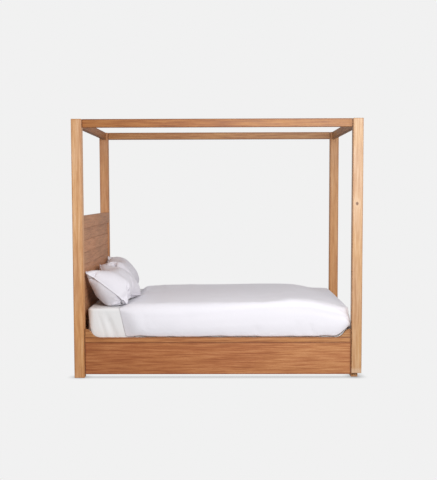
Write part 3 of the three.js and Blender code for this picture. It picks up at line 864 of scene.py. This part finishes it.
def duvetRows(s, plan, top, shoulders, hem, bulge, tuck):
    # rows from the spine to the rim of the top, over the shoulder (a quarter of an ellipse from the
    # rim to the plan) and down to the hem, swollen by a sine and tucked in by a fourth power; the
    # rim is the plan drawn in by the shoulders' widths
    side, foot = shoulders
    normals = outwards(plan, closed=False)
    reach, half = plan[:, 0].max(), np.abs(plan[:, 1]).max()
    rim = plan.copy()
    rim[:, 0] -= foot * smoothStep(reach - 0.30, reach, plan[:, 0])
    rim[:, 1] -= np.sign(plan[:, 1]) * side * smoothStep(half - 0.20, half, np.abs(plan[:, 1]))
    drop = side + (foot - side) * np.clip(normals[:, 0], 0, 1) ** 2
    spineEnd = s["footReach"] - 0.62 * s["half"]
    spine = np.column_stack([np.minimum(plan[:, 0], spineEnd), np.zeros(len(plan))])
    across = np.linspace(0, 1, s["rows"][0])[:-1, None, None] ** 0.85
    flat = spine + (rim - spine) * across
    angle = np.linspace(0, math.pi / 2, s["rows"][1])[:, None, None]
    over = rim + (plan - rim) * np.sin(angle)
    level = np.concatenate([np.zeros(flat.shape[:2]), -drop * (1 - np.cos(angle[:, :, 0]))])
    points = np.concatenate([np.concatenate([flat, over]), level[:, :, None]], axis=2)
    points[:, :, 2] += top(points[:, :, 0], points[:, :, 1])
    down = np.linspace(0, 1, s["rows"][2])[1:, None]
    start = points[-1, :, 2]
    swell = bulge * np.sin(math.pi * down ** 0.9) - tuck * down ** 4
    wall = np.stack([plan[:, 0] + normals[:, 0] * swell, plan[:, 1] + normals[:, 1] * swell,
                     start + (hem - start) * down], axis=2)
    return np.concatenate([points, wall])


def rumpled(points):
    # low ridges where crossed waves, bent by slower ones, come together: 0 between them, 1 on them
    x, y, z = points[:, :, 0], points[:, :, 1], points[:, :, 2]
    across = y + 0.8 * z
    bend = 0.9 * np.sin(3.1 * x + 1.7 * across) + 0.5 * np.sin(7.3 * across - 2.2 * x + 1.0)
    first = np.sin(16.0 * x + 9.0 * across + 2.6 * bend)
    second = np.sin(21.0 * across - 7.0 * x + 3.1 * bend + 0.8)
    patches = smoothStep(-0.2, 0.9, np.sin(2.3 * x + 0.6) * np.sin(3.7 * across + 1.1) + 0.35)
    return (np.clip(first, 0, 1) ** 3 + np.clip(second, 0, 1) ** 3) * patches


def mattressLevel(x, y):
    # just over the mattress inside its rounded plan, and falling away steeply outside it
    radius = mattressSettings["corner"]
    inX = np.clip(radius - (mattressHigh.x - np.abs(x)), 0, None)
    inY = np.clip(radius - (mattressHigh.y - np.abs(y)), 0, None)
    inside = radius - np.hypot(inX, inY)
    return mattressTop + 0.005 - 0.3 * smoothStep(-0.002, -0.020, inside)


def duvetTop(s, x, y):
    # height of the top: a parabola along the bed, less a fall at the foot and at its corners, with
    # a full ridge by the near side and shallow dips
    crown = s["crownPeak"] - s["crownFall"] * (x - s["crownAt"]) ** 2
    crown = crown - s["footFall"] * smoothStep(0.55, 1.05, x) ** 1.4
    full = smoothStep(0.28, 0.62, x) * np.exp(-((y + 0.70) / 0.085) ** 2)
    crown = crown - s["cornerFall"] * smoothStep(0.66, 1.06, x) * smoothStep(0.15, 0.80, np.abs(y))
    dips = s["dips"] * np.sin(x * 5.1 + 1.2 * y) * np.sin(y * 6.3 + x * 1.7 + 0.6)
    return crown + s["fullCorner"] * full + dips


def duvetHem(s, plan):
    # just over the side rail's cap, lifted here and there by three waves, and over the foot brackets
    along = plan[:, 0]
    wave = np.sin(along * 9.0 + 0.7) + 0.8 * np.sin(along * 21.0 + 2.1) + 0.6 * np.sin(along * 47.0)
    hem = capTop + 0.0012 + s["hemLift"] * np.clip(0.15 + 0.5 * wave, 0, 1.1)
    beside = smoothStep(bracketLow.x - 0.012, postLow.x - 0.004, along) * smoothStep(
        0.69, 0.745, np.abs(plan[:, 1]))
    return hem + (bracketHigh.z - capTop + 0.010) * beside


def sidePush(s, outer, plan):
    # how far the side moves outwards: a lip along its shoulder towards the foot, out above and in
    # below, less the creases, each a bell across and faded at both ends
    along, height = plan[:, 0], outer[:, :, 2]
    rows = np.arange(len(outer))[:, None]
    shoulderRow = s["rows"][0] - 1
    reach = smoothStep(0.38, 0.86, along) * smoothStep(0.60, 0.72, np.abs(plan[:, 1]))
    overLip = np.exp(-((rows - shoulderRow - 0.45 * s["rows"][1]) / 2.0) ** 2)
    underLip = np.exp(-((rows - shoulderRow - 1.02 * s["rows"][1]) / 1.3) ** 2)
    push = s["lip"] * (0.45 * overLip - 1.0 * underLip) * reach
    for place, width, low, high, depth in duvetCreases:
        line = np.exp(-((along - place - 0.04 * (height - low)) / width) ** 2)
        span = smoothStep(low, low + 0.03, height) * smoothStep(high, high - 0.04, height)
        push = push - depth * line * span * (np.abs(outer[:, :, 1]) > 0.74)
    return push[:, :, None]


def duvetShape(s):
    # the outer face, worked out at full thickness and then drawn in to the inner face at its head
    # edge, which is moved footwards across the bed and down the sides
    plan = duvetPlan(s, s["footReach"], s["half"], s["corner"], s["footBulge"])
    inPlan = duvetPlan(s, mattressHigh.x + 0.0003, mattressHigh.y - 0.0002, s["innerCorner"], 0.0)
    head, side, foot = s["shoulders"]
    shoulders = (head + (side - head) * smoothStep(-0.35, 0.60, plan[:, 0]), foot)
    hem = duvetHem(s, plan)
    outer = duvetRows(s, plan, lambda x, y: duvetTop(s, x, y), shoulders, hem, s["sideSwell"],
                      s["hemTuck"])
    inner = duvetRows(s, inPlan, lambda x, y: np.full(x.shape, mattressTop + 0.0002),
                      (s["innerShoulder"], s["innerShoulder"]), hem, 0.0, -0.0005)
    normals = outwards(plan, closed=False)
    outer[:, :, :2] += sidePush(s, outer, plan) * normals
    crumple = s["crumple"] * rumpled(outer)
    onTop = smoothStep(mattressTop - 0.03, mattressTop + 0.01, outer[:, :, 2])
    outer[:, :, :2] -= (crumple * (1 - onTop))[:, :, None] * normals
    outer[:, :, 2] += crumple * onTop
    outer[:, :, 2] = above(outer[:, :, 2], mattressLevel(outer[:, :, 0], outer[:, :, 1]), 0.006)
    away = outer[:, :, 0] - s["head"]
    taper = s["headTaper"] * (1 - 0.6 * smoothStep(-0.2, 0.5, outer[:, :, 1]))
    full = s["headThin"] + (1 - s["headThin"]) * smoothStep(0.0, taper, away) ** 0.6
    outer = inner + (outer - inner) * full[:, :, None]
    for face in (outer, inner):
        x, y, z = face[:, :, 0], face[:, :, 1], face[:, :, 2]
        near = smoothStep(s["head"] + 0.38, s["head"], x)
        skew = s["headSkew"] * smoothStep(-0.76, 0.45, y)
        slant = s["headSlant"] * np.clip((mattressTop - z) / (mattressTop - capTop), 0, 1)
        face[:, :, 0] += near * (skew + slant)
    return outer, inner


def blownDuvet(s, outer):
    # blown up with its head edge, its hem and its spine held, each point's move cut off at the most;
    # both sides of the spine move alike and its end as one point, so it stays closed
    draft = makePiece("duvet_draft", outer, gridQuads(gridIndex(*outer.shape[:2])),
                      clothMaterial("duvet"))
    held = np.zeros(outer.shape[:2], bool)
    held[0] = held[-2:] = held[:, :3] = held[:, -3:] = True
    move = inflate(draft, s["cloth"], held.ravel()).reshape(outer.shape) - outer
    bpy.data.objects.remove(draft)
    lift = (move[1] + move[1][::-1]) / 2 * (1, 0, 1)
    apex = outer[0, :, 0] > outer[0, :, 0].max() - 1e-6
    lift[apex] = lift[apex].mean(0)
    move[0] = lift
    length = np.linalg.norm(move, axis=2)[:, :, None]
    print("duvet moved", round(float(length.max()) * 1000, 1), "mm at most")
    blown = outer + move * np.minimum(1.0, s["most"] / np.maximum(length, 1e-9))
    x, y = blown[:, :, 0], np.clip(blown[:, :, 1], -s["widest"], s["widest"])
    side, reach = s["beforePost"]
    blown[:, :, 0] = np.where(np.abs(y) > side, np.minimum(x, reach), x)
    blown[:, :, 1] = y
    return blown


def makeDuvet(s):
    # outer and inner face, joined along the hem and both ends of the head edge
    outer, inner = duvetShape(s)
    outer = blownDuvet(s, outer)
    rows, columns = outer.shape[:2]
    count = rows * columns
    index = gridIndex(rows, columns)
    quads = [gridQuads(index), gridQuads(index + count)[:, ::-1]]
    for edge in (index[-1], index[:, 0], index[:, -1]):
        quads.append(gridQuads(np.stack([edge, edge + count])))
    points = np.concatenate([outer.reshape(-1, 3), inner.reshape(-1, 3)])
    duvet = makePiece("duvet_cover", points, np.concatenate(quads), clothMaterial("duvet"), weld=True)
    addSmoothing(duvet)
    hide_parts("duvet")
    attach(duvet, "frame")


def addSmoothing(piece):
    smooth = piece.modifiers.new("smooth", "SUBSURF")
    smooth.levels = 1
    smooth.render_levels = 1


makeDuvet(duvetSettings)
print("duvet made")


# pillows

pillowSettings = {
    "flat": (0.50, 0.75),
    "cells": (50, 76),
    "startPuff": 0.070,
    "size": (0.356, 0.695, 0.280),  # plump: up the slope, across the bed, through
    "frontShare": 0.46,  # of its thickness in front of the seam
    "lean": math.radians(37),
    "centre": (0.168, 0.157),  # out from the headboard, up from the mattress
    "sag": 0.055,  # of the middle of its upper edge
    "endFill": 0.30,
    "slackTop": 0.30,
    "flange": (0.0075, 0.0026),  # width, half thickness
    "pressed": 0.008,  # softness of the corner where it meets what it rests on
    "cloth": {"quality": 7, "mass": 0.15, "stiffness": 30.0, "bending": 0.02, "pressure": 7.0,
              "spare": 0.01, "frames": 26},
}
# shift moves one out and up, turn is in its own plane, raise adds to its lean and yaw swings it round
pillowPlaces = {
    "pillow_near": {"node": "pillow_left", "seed": 3, "side": -1, "shift": (0.0, 0.0), "turn": 0.0,
                    "raise": 0.0, "yaw": 0.03},
    "pillow_far": {"node": "pillow_right", "seed": 8, "side": 1, "shift": (-0.020, 0.010), "turn": 0.03,
                   "raise": 0.07, "yaw": -0.03},
}


def borderOf(index):
    # the points round a grid's edge, once each and in order
    return np.concatenate([index[0, :-1], index[:-1, -1], index[-1, :0:-1], index[:0:-1, 0]])


def flatPillow(s, seed):
    # two layers that share their edge points: a grid raised towards its middle by the root of how far
    # it is from the edges, with faint rumples, and its mirror image
    rows, columns = s["cells"]
    up, over = np.meshgrid(np.linspace(-1, 1, rows), np.linspace(-1, 1, columns), indexing="ij")
    rumple = 1 + 0.06 * np.sin(over * (9 + seed % 3) + seed) * np.sin(up * 7 + 0.5 * seed)
    puff = s["startPuff"] * ((1 - up ** 2) * (1 - over ** 2)) ** 0.5 * rumple
    layer = np.stack([up * s["flat"][0] / 2, over * s["flat"][1] / 2, puff], axis=-1)
    front = gridIndex(rows, columns)
    back = front.copy()
    back[1:-1, 1:-1] = gridIndex(rows - 2, columns - 2, rows * columns)
    inner = layer[1:-1, 1:-1] * (1, 1, -1)
    return np.concatenate([layer.reshape(-1, 3), inner.reshape(-1, 3)]), front, back


def withFlange(points, front, back, s):
    # the seam opened into a narrow flat flange: four loops of points from the front to the back
    seam = borderOf(front)
    line = points[seam]
    ahead = np.roll(line, -1, axis=0) - np.roll(line, 1, axis=0)
    out = np.cross(ahead, (0.0, 0.0, 1.0))
    out *= np.sign((out * line).sum(1))[:, None]
    corner = 0.5 * (np.roll(out, 2, axis=0) + np.roll(out, -2, axis=0))
    out = corner / np.linalg.norm(corner, axis=1)[:, None]
    wide, thin = s["flange"]
    normal = np.array([0.0, 0.0, 1.0])
    loops = [line + normal * thin, line + out * wide + normal * thin * 0.6,
             line + out * wide - normal * thin * 0.6, line - normal * thin]
    count = len(points)
    index = gridIndex(4, len(seam), count)
    moved = np.arange(count)
    moved[seam] = index[0]
    frontQuads = moved[gridQuads(front)]
    moved[seam] = index[3]
    backQuads = moved[gridQuads(back)[:, ::-1]]
    quads = np.concatenate([frontQuads, backQuads, gridQuads(index, wrapColumns=True)])
    return np.concatenate([points] + loops), quads


def plumpPillow(name, s, side, points, front, back):
    # blown up, brought to its plump size, and given its flange; it is full to its ends and slacker
    # along its upper edge, whose middle sags by a bell curve
    quads = np.concatenate([gridQuads(front), gridQuads(back)[:, ::-1]])
    draft = makePiece("pillow_draft", points, quads, clothMaterial("pillow"))
    points = inflate(draft, s["cloth"])
    bpy.data.objects.remove(draft)
    points = points - points[borderOf(front)].mean(0)
    waist = np.abs(points[:, 1]) < 0.12
    belly = np.abs(points[:, 0]) < 0.08
    spans = np.array([np.ptp(points[waist, 0]), np.ptp(points[belly, 1]), np.ptp(points[:, 2])])
    print(name, "blown to", [round(float(v), 3) for v in spans])
    points = points * (np.array(s["size"]) / spans)
    points[:, 1] *= -side
    points[:, 2] *= np.where(points[:, 2] > 0, 2 * s["frontShare"], 2 - 2 * s["frontShare"])
    points, quads = withFlange(points, front, back, s)
    upward = -points[:, 0] / (s["size"][0] / 2)
    across = points[:, 1] / (s["size"][1] / 2)
    points[:, 2] *= 1 + s["endFill"] * smoothStep(0.35, 0.80, np.abs(across))
    points[:, 2] *= 1 - s["slackTop"] * smoothStep(0.1, 0.95, upward)
    points[:, 0] += s["sag"] * np.clip(upward, 0, 2) * np.exp(-(across / 0.6) ** 2)
    return points, quads


def leanPillow(points, at, s):
    # turned in its plane, leaned back and stood on the bed, then pressed on the headboard, the
    # mattress, the duvet's edge and the other pillow
    low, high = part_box(at["node"])
    tilt, lean = at["turn"], s["lean"] + at["raise"]
    turn = np.array([[math.cos(tilt), -math.sin(tilt)], [math.sin(tilt), math.cos(tilt)]])
    points[:, :2] = points[:, :2] @ turn.T
    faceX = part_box("headboard_top_rail")[1].x
    x = points[:, 0] * math.cos(lean) + points[:, 2] * math.sin(lean) + faceX + s["centre"][0]
    z = points[:, 2] * math.cos(lean) - points[:, 0] * math.sin(lean) + mattressTop + s["centre"][1]
    y = points[:, 1] + (low.y + high.y) / 2
    x = above(x + at["shift"][0] + at["yaw"] * (y - low.y), faceX + 0.003, s["pressed"])
    skew = duvetSettings["headSkew"] * smoothStep(-0.76, 0.45, y)
    bed = mattressTop + 0.004 + 0.052 * smoothStep(-0.785, -0.60, x - skew)
    z = above(z + at["shift"][1], bed, s["pressed"])
    y = at["side"] * above(at["side"] * y, 0.004, 0.012)
    return np.column_stack([x, y, z])


def makePillow(name, at, s):
    points, quads = plumpPillow(name, s, at["side"], *flatPillow(s, at["seed"]))
    points = leanPillow(points, at, s)
    used = np.unique(quads)  # the seam's own points are left out, as the flange stands for them
    number = np.full(len(points), -1)
    number[used] = np.arange(len(used))
    pillow = makePiece(name, points[used], number[quads], clothMaterial("pillow"), weld=True)
    addSmoothing(pillow)
    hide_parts(at["node"])
    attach(pillow, "frame")


for pillowName, pillowAt in pillowPlaces.items():
    makePillow(pillowName, pillowAt, pillowSettings)
print("pillows made")
